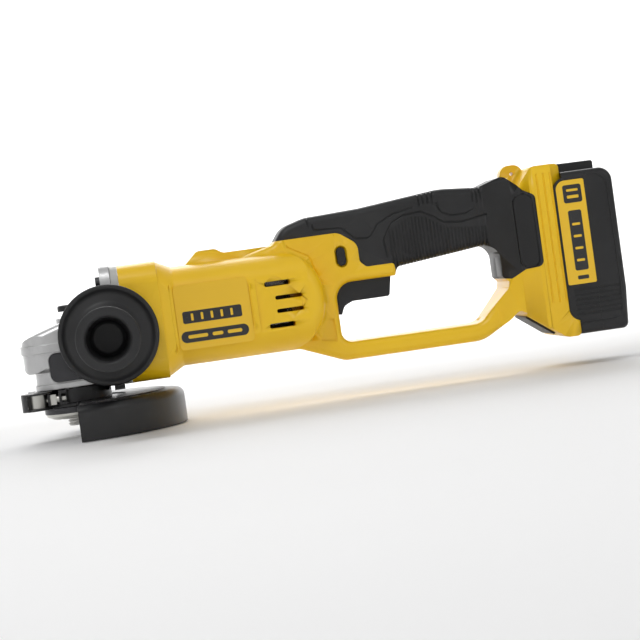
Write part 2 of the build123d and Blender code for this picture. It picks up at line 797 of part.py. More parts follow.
def housing_void():
    void = disc_x(collar_x0 - 1, 62, fan_room_r)
    void = void + disc_x(60, can_x1 + 1, can_r + fixed)
    void = void + disc_x(can_x1, rear_race_x - 0.5, 24)
    void = void + disc_x(rear_race_x - 1, rear_race_x + rear_race_t + 0.1, rear_race_r + fixed)
    handle = handle_block(shell_inset) & block(176, 319, -40, 40, 63, 130)
    void = void + handle
    void = void + block(160, 180, -8, 8, 80, 88)
    return void


def foot_channel():
    """Channel that the pack's slide runs in, open above and behind."""
    head = block(slide_x0 - gap, 331.3, -slide_head, slide_head, 8.4, 140)
    neck = block(331, 345, -slide_half, slide_half, 8.4, 140)
    return head + neck


def housing():
    outer = outer_shape()
    shell = (outer - soft_zone()) + soft_core()
    shell = shell - housing_void() - foot_channel()
    shell = shell - block(180.2, 219.8, -trigger_half - gap, trigger_half + gap, 40, 69.6)
    shell = shell - lock_off_oblong(tight, -60, 60)
    recess = lock_off_oblong(1.4, -30, -web_half + 1.2)
    shell = shell - recess - mirror(recess, Plane.XZ)
    shell = shell - disc_y(-15, 15, pivot_pin_r + fixed, trigger_x, trigger_z)
    for y, z in case_screw_places():
        shell = shell - disc_x(collar_x0 - 1, collar_x0 + 17, 2.3 + fixed, y, z)
    for vent in vent_slots() + [vent_recess(), label_plate(0.3, -60, -barrel_half + 0.12 + label_t)]:
        shell = shell - vent - mirror(vent, Plane.XZ)
    for x, z, face in housing_screw_places():
        shell = shell - disc_y(-9, face + 5, screw_r + fixed, x, z) - disc_y(face - 3.5, face + 9, 3.4, x, z)
    for notch in triangle_recesses():
        shell = shell - notch
    shell = shell - side_pad_zone_cut()
    return shell


def triangle_recesses():
    points = [(166, 23.5), (177, 21.5), (177, 37), (174, 37)]
    notch = slab(points, [1, 1.5, 1, 1], -web_half - 3, -web_half + 1.5)
    return both_sides(notch)


def side_pad_zone_cut():
    return side_pad_zone() - shoulder_plan(1.4, 330.0)


def overmould():
    soft = (outer_shape() & soft_zone()) - soft_core()
    return soft - side_pad_zone_cut() - foot_channel() - lock_off_oblong(1.4, -60, 60)


def left_of(shape):
    return shape & block(-100, 400, -100, 0, -50, 150)


def right_of(shape):
    return shape & block(-100, 400, 0, 100, -50, 150)


def housing_screws():
    screws = []
    for x, z, face in housing_screw_places():
        screw = disc_y(-8, face - 2, screw_r, x, z) + disc_y(face - 3.4, face - 1.2, 3.1, x, z)
        screws.append(screw - disc_y(face - 2.4, face + 1, 1.4, x, z))
    return group(screws)


def foot_bumper():
    """Rubber strip on the sloped lower edge of the foot."""
    run_x = foot_slope_x - foot_front
    run_z = foot_low - foot_slope_z
    length = sqrt(run_x ** 2 + run_z ** 2)
    out_x = run_z / length
    out_z = -run_x / length
    points = []
    for share, off in ((0.04, 0.02), (0.8, 0.02), (0.8, bumper_t), (0.04, bumper_t)):
        points.append((foot_front + run_x * share + out_x * off, foot_slope_z + run_z * share + out_z * off))
    return slab(points, [0, 0, 0.6, 0.6], -bumper_half, bumper_half)


# ---------------------------------------------------------------- motor
def motor_can():
    can = ring_x(can_x0, can_x1, can_r - 2, can_r)
    return can + ring_x(can_x0, can_x0 + 1.5, 19, can_r - 0.5)


def magnets():
    ring = ring_x(can_x0 + 5, can_x1 - 4, armature_r + 0.9, can_r - 2 - fixed)
    ring = ring - block(0, 200, -40, 40, motor_z - 5, motor_z + 5)
    return group([ring])


def armature_shaft():
    shaft = disc_x(13.6, 25, pinion_bore) + disc_x(24.7, rear_race_x, shaft_r)
    return shaft + disc_x(rear_race_x - 1, rear_race_x + rear_race_t, rear_journal_r)


def armature_core():
    core = ring_x(86, 124, shaft_r + fixed, armature_r)
    for i in range(12):
        angle = i * 30
        slot = Pos(0, 0, motor_z) * Rot(angle, 0, 0) * block(80, 130, -1.6, 1.6, 10, 16)
        mouth = Pos(0, 0, motor_z) * Rot(angle, 0, 0) * block(80, 130, -0.7, 0.7, 15, 20)
        core = core - slot - mouth
    return core


def windings():
    ends = []
    for x0, x1 in ((79.6, 85.9), (124.1, 131.5)):
        end = ring_x(x0, x1, shaft_r + 1.5, 15.5)
        for i in range(12):
            cut = Pos(0, 0, motor_z) * Rot(i * 30 + 15, 0, 0) * block(x0 - 1, x1 + 1, -0.9, 0.9, 12.5, 20)
            end = end - cut
        ends.append(end)
    return group(ends)


def commutator():
    drum = ring_x(135, 147.5, shaft_r + fixed, 9)
    for i in range(12):
        drum = drum - Pos(0, 0, motor_z) * Rot(i * 30, 0, 0) * block(134, 146, -0.3, 0.3, 7.8, 12)
    return drum


def fan():
    wheel = ring_x(46, 59, shaft_r + fixed, 9) + ring_x(57.4, 59, 8, 29)
    blade = Pos(0, 0, motor_z) * block(46.5, 58, -0.7, 0.7, 8, 29)
    for i in range(16):
        turned = Pos(0, 0, motor_z) * Rot(i * 22.5, 0, 0) * Pos(0, 0, -motor_z) * blade
        wheel = wheel + turned
    return wheel


def fan_baffle():
    return ring_x(60.2, 61.9, 13, fan_room_r - fixed)


def brush_plate():
    plate = ring_x(133.2, 134.8, 12, 24 - fixed)
    for side in (-1, 1):
        box = block(134.6, 147, *sorted((side * 11, side * 23)), motor_z - 4.6, motor_z + 4.6)
        hole = block(136.9, 145.1, *sorted((side * 10, side * 24)), motor_z - 3.1, motor_z + 3.1)
        plate = plate + (box - hole)
    return plate & disc_x(130, 150, 24 - fixed)


def brushes():
    return group([
        block(137, 145, min(s * 9.2, s * 16), max(s * 9.2, s * 16), motor_z - 3, motor_z + 3) for s in (-1, 1)
    ])


def brush_springs():
    springs = []
    for side in (-1, 1):
        low, high = sorted((side * 16.1, side * 22.6))
        coil = coil_z(0, high - low, 2.2, 0.35, 4, 0, 0)
        springs.append(Pos(141, low, motor_z) * Rot(-90, 0, 0) * coil)
    return group(springs)


# ---------------------------------------------------------------- handle parts
def trigger():
    points = [
        (181.6, 38.5), (183.2, 38.5), (185.5, 44), (191.5, 46.5), (216.5, 46.5), (219.0, 60), (218.4, 64.2),
        (196, 64.6), (190.5, 66.4), (181.6, 66.4),
    ]
    body = slab(points, [0.6, 0.6, 5, 4, 2, 3, 1, 0, 3, 3], -trigger_half, trigger_half)
    room = slab([(193, 49), (214.5, 49), (216, 70), (193, 70)], [1, 1, 0, 0], -trigger_half + 2, trigger_half - 2)
    body = body - room
    body = body + disc_z(48.6, 76, 1.8, 209, 0)
    return body - disc_y(-20, 20, pivot_pin_r + run, trigger_x, trigger_z)


def trigger_pin():
    return disc_y(-14.8, 14.8, pivot_pin_r, trigger_x, trigger_z)


def lock_off():
    body = oblong(lock_off_x0, lock_off_x1, lock_off_low, lock_off_high, -web_half - 0.4, web_half - 4)
    return body


def switch_module():
    body = block(196, 224, -10, 10, 71.5, 92)
    body = body - disc_z(70, 86, 4.4, 207.8, 0)
    for y in (-6, 6):
        body = body + block(224, 228, y - 2, y + 2, 76, 78) + block(224, 228, y - 2, y + 2, 84, 86)
    return body


def terminal_block():
    return block(322.2, 330.8, -21, 21, 8.45, 10.6)


blade_rows = (-15.0, -5.0, 5.0, 15.0)


def contact_blades():
    return group([block(325, 329, y - 0.4, y + 0.4, 10.6, 27) for y in blade_rows])


# ---------------------------------------------------------------- battery pack
pack_x0 = foot_rear + gap
pack_low = 4.0
pack_high = 112.0
pack_split = 352.0
pack_floor = 8.7          # inside of the pack's lower wall
pack_screw_r = 1.2
pack_screw_head_r = 2.2
pack_screw_y = 30.0
cell_r = 9.15
cell_pitch = 18.6
cell_x = 356.0
button_low = 111.6
button_floor = 107.6
button_half = 15.0


def pack_outer():
    points = [
        (pack_x0, pack_low), (battery_rear - 2, pack_low), (battery_rear, 30), (battery_rear, pack_high),
        (pack_x0, pack_high),
    ]
    body = slab(points, [0, 4, 30, 9, 0], -foot_half, foot_half)
    rims = [e for e in body.edges() if abs(e.center().Y) > foot_half - 0.1 and e.center().X > pack_x0 + 1]
    return fillet(rims, 3.5)


def pack_wings():
    points = [
        (pack_x + tight, wing_low + gap), (345, wing_low + gap), (345, wing_high - gap),
        (pack_x + tight, wing_high - gap),
    ]
    wing = slab(points, [7.6, 0, 0, 7.6], -foot_half, -foot_half + 4 - gap)
    wing = wing & block(300, 345, -60, 60, 0, 130)
    return both_sides(wing)


def pack_slide():
    slide = block(slide_x0 + gap, 331.3 - gap, -slide_head + gap, slide_head - gap, 11, pack_high)
    slide = slide + block(331.3 - gap - 1, pack_x0 + 1, -slide_half + gap, slide_half - gap, 11, pack_high)
    for y in blade_rows:
        slide = slide - block(slide_x0 + 2, 330, y - 1.2, y + 1.2, 0, 30)
    return slide


def pack_void():
    return block(340.2, 369, -34.4, 34.4, pack_floor, 104)


def pack_case():
    wings = pack_wings()
    case = pack_outer() + wings[0] + wings[1] + pack_slide()
    case = case - pack_void()
    case = case - block(337, 366, -button_half - tight, button_half + tight, button_floor, 130)
    for cut in both_sides(pack_label_zone(0.1, 0.6)):
        case = case - cut
    grooves = []
    for i in range(6):
        z = 16.5 + 3.2 * i
        grooves.append(block(pack_x + 5, 367, -60, -foot_half + 0.5, z, z + 1.3))
        grooves.append(block(pack_x + 5, 367, foot_half - 0.5, 60, z, z + 1.3))
    for groove in grooves:
        case = case - groove
    for y, z in pack_screw_places():
        case = case - disc_x(330, 365.2, pack_screw_r + fixed, y, z)
        case = case - disc_x(330, 339.4, pack_screw_head_r + 0.1, y, z)
    return case


def pack_screw_places():
    return [(y, z) for y in (-pack_screw_y, pack_screw_y) for z in (6.4, 107.0)]


def pack_screws():
    """Four screws driven from the slide face of the pack."""
    screws = []
    for y, z in pack_screw_places():
        screw = disc_x(339.3, 365, pack_screw_r, y, z) + disc_x(pack_x0 + 0.2, 339.3, pack_screw_head_r, y, z)
        screws.append(screw - disc_x(pack_x0, 338.8, 0.9, y, z))
    return group(screws)


def pack_label_zone(grow, depth):
    points = [
        (pack_x + 1.6 - grow, 37 - grow), (pack_split - 0.2 + grow, 37 - grow),
        (pack_split - 0.2 + grow, 106.2 + grow), (pack_x + 1.6 - grow, 106.2 + grow),
    ]
    return slab(points, [1.2, 1.2, 1.2, 6], -foot_half - (1 if grow else 0), -foot_half + depth)


def pack_labels():
    return group(both_sides(pack_label_zone(0, 0.5)))


def cells():
    rows = []
    for i in range(5):
        rows.append(disc_y(-32.5, 32.5, cell_r, cell_x, 18.0 + cell_pitch * i))
    return group(rows)


def cell_holder():
    bars = []
    for y in (-22.0, 22.0):
        bar = block(346.4, 365.6, y - 4, y + 4, pack_floor + 0.05, 103.2)
        for i in range(5):
            bar = bar - disc_y(y - 5, y + 5, cell_r + fixed, cell_x, 18.0 + cell_pitch * i)
        bars.append(bar)
    return group(bars)


def cell_board():
    return block(342.4, 344.0, -28, 28, 12, 100)


def pack_button():
    points = [(339, button_low), (364.5, button_low), (364.5, 118.0), (339, 118.3)]
    body = slab(points, [1, 1, 1.6, 1.6], -button_half, button_half)
    rims = [e for e in body.edges() if abs(e.center().Y) > button_half - 0.1 and e.center().Z > 114]
    return fillet(rims, 0.8)


def pack_button_springs():
    return group([coil_z(button_floor, button_low, 2.6, 0.35, 2.5, 352, y) for y in (-8.0, 8.0)])


def assembly():
    """Every node's solid or group of solids, by name."""
    shell = housing()
    soft = overmould()
    pad = side_pad()
    pin, cap = lock_button()
    case = pack_case()
    front_zone = block(300, pack_split, -60, 60, 0, 130)
    return {
        "housing_left": left_of(shell),
        "housing_right": right_of(shell),
        "grip_overmould_left": left_of(soft),
        "grip_overmould_right": right_of(soft),
        "side_pads": group(both_sides(pad)),
        "label_plates": label_plates(),
        "housing_screws": housing_screws(),
        "foot_bumper": foot_bumper(),
        "adapter_ring": adapter_ring(),
        "gear_case": gear_case(),
        "gear_case_screws": case_screws(),
        "cover_inserts": group(cover_inserts()),
        "bearing_box": bearing_box(),
        "bearing_box_screws": box_screws(),
        "spindle_bearings": group([
            ball_bearing_z(low_race_z0, low_race_z1, journal_r + fixed, low_race_r),
            ring_z(top_race_z0, top_race_z1, journal_top_r + fixed, top_race_r),
        ]),
        "spindle_seal": ring_z(box_plate_low + 0.1, low_race_z0 - 0.1, collar_r + 0.1, seal_r),
        "motor_bearings": group([
            ball_bearing_x(front_race_x, front_race_x + front_race_t, shaft_r + fixed, front_race_r),
            ball_bearing_x(rear_race_x, rear_race_x + rear_race_t, rear_journal_r + fixed, rear_race_r),
        ]),
        "motor_can": motor_can(),
        "motor_magnets": magnets(),
        "fan_baffle": fan_baffle(),
        "brush_plate": brush_plate(),
        "carbon_brushes": brushes(),
        "brush_springs": brush_springs(),
        "switch_module": switch_module(),
        "terminal_block": group([terminal_block(), contact_blades()]),
        "trigger_pin": trigger_pin(),
        "spindle": spindle(),
        "crown_gear": crown_gear(),
        "retaining_ring": circlip(),
        "inner_flange": inner_flange(),
        "clamp_nut": clamp_nut(),
        "armature_shaft": armature_shaft(),
        "armature_core": armature_core(),
        "armature_windings": windings(),
        "commutator": commutator(),
        "fan": fan(),
        "pinion": pinion(),
        "guard_shell": guard_shell() + guard_collar(),
        "clamp_band": clamp_band(),
        "clamp_screw": clamp_screw(),
        "clamp_square_nut": square_nut(),
        "clamp_barrel": clamp_barrel(),
        "lever_pin": lever_pin(),
        "clamp_lever": clamp_lever(),
        "spindle_lock": pin + cap,
        "lock_spring": coil_z(lock_pocket_z, lock_pad_z + 4.4, 3.6, 0.4, 5, lock_x, lock_y),
        "trigger": trigger(),
        "lock_off_button": lock_off(),
        "pack_front_case": case & front_zone,
        "pack_rear_case": case - front_zone,
        "pack_labels": pack_labels(),
        "battery_cells": cells(),
        "cell_holder": cell_holder(),
        "cell_board": cell_board(),
        "pack_button": pack_button(),
        "pack_button_springs": pack_button_springs(),
        "pack_screws": pack_screws(),
        "handle_washer": handle_washer(),
        "handle_stud": handle_stud(),
        "handle_grip": handle_grip(),
    }


def main():
    os.makedirs("parts", exist_ok=True)
    for name, shape in assembly().items():
        write(name, shape)


main()
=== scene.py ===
import json
import math
import bmesh
import bpy
from mathutils import Matrix, Vector


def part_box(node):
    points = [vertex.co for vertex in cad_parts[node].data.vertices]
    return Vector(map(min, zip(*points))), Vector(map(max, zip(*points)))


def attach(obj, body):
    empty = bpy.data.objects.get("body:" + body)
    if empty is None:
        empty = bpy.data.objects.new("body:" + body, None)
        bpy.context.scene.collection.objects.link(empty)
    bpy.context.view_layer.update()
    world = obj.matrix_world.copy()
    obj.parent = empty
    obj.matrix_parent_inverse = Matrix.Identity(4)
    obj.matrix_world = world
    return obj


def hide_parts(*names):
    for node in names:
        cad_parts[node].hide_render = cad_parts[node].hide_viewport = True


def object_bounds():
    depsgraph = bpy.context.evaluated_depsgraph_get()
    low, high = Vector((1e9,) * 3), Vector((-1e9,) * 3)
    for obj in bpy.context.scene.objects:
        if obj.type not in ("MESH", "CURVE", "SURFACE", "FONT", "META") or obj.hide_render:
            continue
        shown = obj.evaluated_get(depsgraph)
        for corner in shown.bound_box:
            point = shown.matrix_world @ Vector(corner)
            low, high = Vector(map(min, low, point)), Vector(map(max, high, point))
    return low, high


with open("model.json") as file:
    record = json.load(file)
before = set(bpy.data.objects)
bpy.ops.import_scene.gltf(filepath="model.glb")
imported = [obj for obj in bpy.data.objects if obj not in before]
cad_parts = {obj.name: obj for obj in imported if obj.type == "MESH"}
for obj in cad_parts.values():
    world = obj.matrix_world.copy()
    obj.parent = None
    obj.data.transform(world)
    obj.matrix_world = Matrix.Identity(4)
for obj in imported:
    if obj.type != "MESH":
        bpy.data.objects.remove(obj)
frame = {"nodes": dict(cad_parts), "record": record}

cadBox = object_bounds()
print("frame loaded:", len(frame["nodes"]), "nodes")


# materials: a small wrapper for sockets, so shader maths reads as plain expressions
class Term:
    def __init__(self, surface, socket):
        self.surface = surface
        self.socket = socket

    def calc(self, operation, *values):
        return self.surface.node("ShaderNodeMath", {"operation": operation}, dict(enumerate(values)))

    def __add__(self, other):
        return self.calc("ADD", self, other)

    def __radd__(self, other):
        return self.calc("ADD", other, self)

    def __sub__(self, other):
        return self.calc("SUBTRACT", self, other)

    def __rsub__(self, other):
        return self.calc("SUBTRACT", other, self)

    def __mul__(self, other):
        return self.calc("MULTIPLY", self, other)

    def __rmul__(self, other):
        return self.calc("MULTIPLY", other, self)

    def __pow__(self, other):
        return self.calc("POWER", self, other)

    def size(self):
        return self.calc("ABSOLUTE", self)

    def larger(self, other):
        return self.calc("MAXIMUM", self, other)

    def wave(self):
        return self.calc("SINE", self)


class Surface:
    def __init__(self, name, roughness=0.5, metallic=0.0, coat=0.0, coatRoughness=0.1):
        self.material = bpy.data.materials.new(name)
        self.material.use_nodes = True
        self.tree = self.material.node_tree
        self.shader = self.tree.nodes["Principled BSDF"]
        self.shader.inputs["Roughness"].default_value = roughness
        self.shader.inputs["Metallic"].default_value = metallic
        self.shader.inputs["Coat Weight"].default_value = coat
        self.shader.inputs["Coat Roughness"].default_value = coatRoughness
        self.place = self.node("ShaderNodeTexCoord", {}, {}, "Object")

    def node(self, kind, settings, values, out=0):
        made = self.tree.nodes.new(kind)
        for key, setting in settings.items():
            if key == "stops":
                ramp = made.color_ramp
                while len(ramp.elements) < len(setting):
                    ramp.elements.new(0.5)
                for element, (where, tone) in zip(ramp.elements, setting):
                    element.position = where
                    element.color = tone
            else:
                setattr(made, key, setting)
        for key, value in values.items():
            socket = made.inputs[key]
            if isinstance(value, Term):
                self.tree.links.new(value.socket, socket)
            else:
                socket.default_value = value
        return Term(self, made.outputs[out])

    def noise(self, scale, detail=3.0, roughness=0.55, stretch=(1, 1, 1)):
        place = self.place
        if stretch != (1, 1, 1):
            place = self.node("ShaderNodeMapping", {}, {"Vector": place, "Scale": stretch})
        return self.node("ShaderNodeTexNoise", {}, {
            "Vector": place, "Scale": scale, "Detail": detail, "Roughness": roughness})

    def axes(self):
        split = self.tree.nodes.new("ShaderNodeSeparateXYZ")
        self.tree.links.new(self.place.socket, split.inputs[0])
        return [Term(self, socket) for socket in split.outputs]

    def ramp(self, factor, low, high):
        return self.node("ShaderNodeMapRange", {"interpolation_type": "SMOOTHSTEP"}, {
            "Value": factor, "From Min": low, "From Max": high})

    def mix(self, factor, first, second):
        return self.node("ShaderNodeMix", {"data_type": "RGBA"}, {0: factor, 6: first, 7: second}, 2)

    def bump(self, height, depth, strength=1.0, soft=0.0):
        values = {"Strength": strength, "Distance": depth, "Height": height}
        if soft:
            values["Normal"] = self.node("ShaderNodeBevel", {"samples": 4}, {"Radius": soft})
        normal = self.node("ShaderNodeBump", {}, values)
        return self.feed("Normal", normal)

    def oblong(self, across, up, low, high, corner, edge=0.00012):
        # 1 inside a rounded rectangle given by its two corners, 0 outside
        middle = [(a + b) / 2 for a, b in zip(low, high)]
        half = [(b - a) / 2 - corner for a, b in zip(low, high)]
        out = [((term - m).size() - h).larger(0.0) for term, m, h in zip((across, up), middle, half)]
        away = (out[0] * out[0] + out[1] * out[1]) ** 0.5
        return 1.0 - self.ramp(away, corner - edge, corner + edge)

    def feed(self, name, term):
        self.tree.links.new(term.socket, self.shader.inputs[name])
        return self


def tone(red, green, blue):
    return (red, green, blue, 1.0)


def edgeMask(surface, radius=0.0008):
    # worn edges: the difference between a rounded and a plain normal
    bevel = surface.node("ShaderNodeBevel", {"samples": 4}, {"Radius": radius})
    geometry = surface.tree.nodes.new("ShaderNodeNewGeometry")
    match = surface.node("ShaderNodeVectorMath", {"operation": "DOT_PRODUCT"}, {
        0: bevel, 1: Term(surface, geometry.outputs["Normal"])}, 1)
    return surface.ramp(1.0 - match, 0.02, 0.25)


def mouldedPlastic(name, color, look):
    surface = Surface(name, coat=look.get("coat", 0.0), coatRoughness=0.25)
    cloud = surface.noise(look["cloudScale"], 4)
    grain = surface.noise(look["grainScale"], 2)
    pits = surface.noise(look["grainScale"] * 0.45, 5, 0.7)
    darker = tone(*[c * (1 - look["variation"]) for c in color])
    lighter = tone(*[min(1.0, c * (1 + look["variation"]) + look["dust"]) for c in color])
    shade = surface.mix(surface.ramp(cloud, 0.35, 0.65), darker, lighter)
    scuff = surface.ramp(surface.noise(look["scuffScale"], 6, 0.7, (1, 1, 0.25)), 0.62, 0.74)
    worn = tone(*[min(1.0, c * 1.15 + look["dust"] * 2.2) for c in color])
    surface.feed("Base Color", surface.mix(scuff * 0.35, shade, worn))
    surface.feed("Roughness", look["roughness"] + (cloud - 0.5) * 0.16 + scuff * 0.12)
    skin = grain * 0.7 + pits * 0.5
    surface.bump(skin, look["depth"], look.get("strength", 0.6), look.get("soft", 0.0))
    return surface.material


plasticLooks = {
    "yellow": {"cloudScale": 14, "grainScale": 2600, "scuffScale": 40, "variation": 0.05, "dust": 0.0,
               "roughness": 0.34, "depth": 0.00006, "coat": 0.2, "soft": 0.0005},
    "rubber": {"cloudScale": 22, "grainScale": 2200, "scuffScale": 55, "variation": 0.18, "dust": 0.003,
               "roughness": 0.46, "depth": 0.00010, "strength": 0.7, "soft": 0.0007},
    "black": {"cloudScale": 18, "grainScale": 3000, "scuffScale": 60, "variation": 0.12, "dust": 0.004,
              "roughness": 0.36, "depth": 0.00005, "soft": 0.0006},
    "light": {"cloudScale": 18, "grainScale": 2600, "scuffScale": 60, "variation": 0.05, "dust": 0.01,
              "roughness": 0.5, "depth": 0.00005},
}


def castMetal(name, color, roughness):
    surface = Surface(name, metallic=0.75)
    skinNoise = surface.noise(900, 5, 0.65)
    cloud = surface.noise(30, 4)
    stain = surface.ramp(surface.noise(75, 6, 0.7), 0.55, 0.8)
    shade = surface.mix(surface.ramp(cloud, 0.3, 0.7), tone(*[c * 0.86 for c in color]), tone(*color))
    shade = surface.mix(stain * 0.35, shade, tone(*[c * 0.62 for c in color]))
    surface.feed("Base Color", shade)
    surface.feed("Roughness", roughness + (skinNoise - 0.5) * 0.25 + stain * 0.1)
    surface.bump(skinNoise, 0.00012, 0.7, 0.0007)
    return surface.material


def turnedMetal(name, color, roughness, stretch=(1, 1, 60)):
    surface = Surface(name, metallic=1.0)
    lines = surface.noise(700, 3, 0.6, stretch)
    cloud = surface.noise(60, 4)
    shade = surface.mix(lines, tone(*[c * 0.78 for c in color]), tone(*color))
    spots = surface.ramp(surface.noise(160, 5, 0.7), 0.62, 0.8)
    surface.feed("Base Color", surface.mix(spots * 0.4, shade, tone(*[c * 0.5 for c in color])))
    surface.feed("Roughness", roughness + (lines - 0.5) * 0.2 + cloud * 0.08)
    surface.bump(lines, 0.00003, 0.5)
    return surface.material


def powderCoat(name, color):
    surface = Surface(name, coat=0.2, coatRoughness=0.3)
    peel = surface.noise(1100, 2, 0.5)
    cloud = surface.noise(25, 4)
    worn = edgeMask(surface, 0.0006) * surface.ramp(surface.noise(220, 4), 0.5, 0.62)
    darker, lighter = (tone(*[c * scale for c in color]) for scale in (0.8, 1.5))
    shade = surface.mix(surface.ramp(cloud, 0.3, 0.7), darker, lighter)
    surface.feed("Base Color", surface.mix(worn, shade, tone(0.45, 0.44, 0.42)))
    surface.feed("Metallic", worn * 0.9)
    surface.feed("Roughness", 0.34 + (cloud - 0.5) * 0.15 + worn * 0.05)
    surface.bump(peel, 0.00008, 0.7, 0.0006)
    return surface.material


def copperWire():
    surface = Surface("copperWire", metallic=1.0, coat=0.4)
    along = surface.axes()[0]
    strands = ((along * 9000).wave() + 1) * 0.5
    cloud = surface.noise(120, 4)
    surface.feed("Base Color", surface.mix(strands * cloud, tone(0.30, 0.10, 0.03), tone(0.78, 0.36, 0.16)))
    surface.feed("Roughness", 0.28 + cloud * 0.2)
    surface.bump(strands, 0.0002, 0.8)
    return surface.material


def laminations():
    surface = Surface("laminatedCore", metallic=0.9)
    along = surface.axes()[0]
    sheets = ((along * 12500).wave() + 1) * 0.5
    cloud = surface.noise(90, 4)
    surface.feed("Base Color", surface.mix(sheets, tone(0.10, 0.10, 0.11), tone(0.34, 0.34, 0.35)))
    surface.feed("Roughness", 0.38 + cloud * 0.2)
    surface.bump(sheets, 0.00008, 0.8)
    return surface.material


def circuitBoard():
    surface = Surface("circuitBoard", coat=0.6)
    tracks = surface.node("ShaderNodeTexVoronoi", {"distance": "CHEBYCHEV"}, {
        "Vector": surface.place, "Scale": 180})
    lines = surface.ramp(tracks, 0.42, 0.5)
    surface.feed("Base Color", surface.mix(lines, tone(0.02, 0.16, 0.06), tone(0.05, 0.32, 0.12)))
    surface.feed("Roughness", 0.35 + surface.noise(300) * 0.15)
    surface.bump(lines, 0.00006)
    return surface.material


def printedFilm(name, color, ink):
    # yellow rating films: one on each side of the barrel and one on each side of the pack
    surface = Surface(name, coat=0.5, coatRoughness=0.12)
    along, _, up = surface.axes()
    marks = 0.0
    for low, high, corner, sign in filmMarks:
        mark = surface.oblong(along, up, [v / 1000 for v in low], [v / 1000 for v in high], corner / 1000)
        marks = mark + marks if sign > 0 else marks * (1.0 - mark)
    cloud = surface.noise(40, 4)
    rub = surface.ramp(surface.noise(260, 5, 0.7), 0.66, 0.75) * 0.25
    ground = surface.mix(cloud, tone(*[c * 0.94 for c in color]), tone(*color))
    surface.feed("Base Color", surface.mix(marks - marks * rub, ground, tone(*ink)))
    surface.feed("Roughness", 0.30 + cloud * 0.08 + marks * 0.08)
    surface.bump(marks + surface.noise(1800) * 0.3, 0.00005, 0.6)
    return surface.material


# generic marks on the yellow films, in millimetres along and up the tool
filmLook = {"tickFirst": 82.5, "tickPitch": 6.5, "ticks": 5, "rungFirst": 52, "rungPitch": 8, "rungs": 4}


def listMarks():
    # low corner, high corner, corner radius, and ink on (1) or cut out (-1)
    marks = [((77, 47.5), (116, 55.5), 1.4, 1)]
    for k in range(filmLook["ticks"]):
        along = filmLook["tickFirst"] + k * filmLook["tickPitch"]
        marks.append(((along, 49.2), (along + 1.6, 53.8), 0.5, -1))
    marks.append(((74.5, 35), (119, 42.5), 3.6, 1))
    for low, high in ((79, 92), (95, 102), (105, 114.5)):
        marks.append(((low, 37.6), (high, 39.9), 1.0, -1))
    marks += [((337, 91), (349.5, 103), 1.6, 1), ((339.4, 98.6), (347.2, 100.2), 0.6, -1),
              ((339.4, 94), (347.2, 96), 0.6, -1), ((338.6, 46), (347.6, 86), 1.4, 1)]
    for k in range(filmLook["rungs"]):
        up = filmLook["rungFirst"] + k * filmLook["rungPitch"]
        marks.append(((340.4, up), (345.8, up + 1.6), 0.6, -1))
    marks.append(((339.5, 40), (347, 42.6), 0.8, 1))
    return marks


filmMarks = listMarks()
yellow = (0.98, 0.600, 0.008)
finishes = {
    "yellow_plastic": mouldedPlastic("yellowPlastic", yellow, plasticLooks["yellow"]),
    "grip_rubber": mouldedPlastic("gripRubber", (0.013, 0.013, 0.014), plasticLooks["rubber"]),
    "black_plastic": mouldedPlastic("blackPlastic", (0.010, 0.010, 0.011), plasticLooks["black"]),
    "light_plastic": mouldedPlastic("lightPlastic", (0.55, 0.55, 0.52), plasticLooks["light"]),
    "dark_insert": mouldedPlastic("darkInsert", (0.045, 0.045, 0.05), plasticLooks["black"]),
    "carbon": mouldedPlastic("carbonBlock", (0.03, 0.03, 0.032), plasticLooks["rubber"]),
    "cell_wrap": mouldedPlastic("cellWrap", (0.05, 0.22, 0.5), plasticLooks["yellow"]),
    "label_yellow": printedFilm("printedFilm", (0.98, 0.60, 0.016), (0.012, 0.012, 0.013)),
    "cast_aluminium": castMetal("castAluminium", (0.70, 0.70, 0.70), 0.34),
    "magnet": castMetal("magnetBlock", (0.12, 0.12, 0.12), 0.6),
    "core_steel": laminations(),
    "copper": copperWire(),
    "board_green": circuitBoard(),
    "bright_steel": turnedMetal("brightSteel", (0.72, 0.71, 0.69), 0.24),
    "zinc_steel": turnedMetal("zincSteel", (0.74, 0.73, 0.68), 0.30),
    "dark_steel": turnedMetal("darkSteel", (0.10, 0.10, 0.105), 0.36),
    "black_steel": powderCoat("blackPowderCoat", (0.010, 0.010, 0.011)),
}
for entry in frame["record"]["subparts"]:
    node = frame["nodes"][entry["node"]]
    node.data.materials.clear()
    node.data.materials.append(finishes[entry["material_slot"]])
print("materials made:", len(finishes))

# shared mesh helpers
def addPiece(name, mesh, finish, body, *replaced):
    mesh.materials.clear()
    mesh.materials.append(finishes[finish])
    piece = bpy.data.objects.new(name, mesh)
    bpy.context.collection.objects.link(piece)
    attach(piece, body)
    if replaced:
        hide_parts(*replaced)
    return piece


def smoothed(mesh, angle=35):
    # large flat faces keep their own shading and small ones bend between them
    mesh.polygons.foreach_set("use_smooth", [True] * len(mesh.polygons))
    mesh.set_sharp_from_angle(angle=math.radians(angle))
    host = bpy.data.objects.new("shadingHost", mesh)
    bpy.context.collection.objects.link(host)
    weigh = host.modifiers.new("weigh", "WEIGHTED_NORMAL")
    weigh.keep_sharp, weigh.weight = True, 100
    view = bpy.context.evaluated_depsgraph_get()
    shaded = bpy.data.meshes.new_from_object(host.evaluated_get(view))
    bpy.data.objects.remove(host)
    return shaded


def fixedFaces(mesh):
    # closed, outward faces
    work = bmesh.new()
    work.from_mesh(mesh)
    bmesh.ops.remove_doubles(work, verts=work.verts, dist=1e-6)
    bmesh.ops.recalc_face_normals(work, faces=work.faces)
    work.to_mesh(mesh)
    work.free()
    return mesh


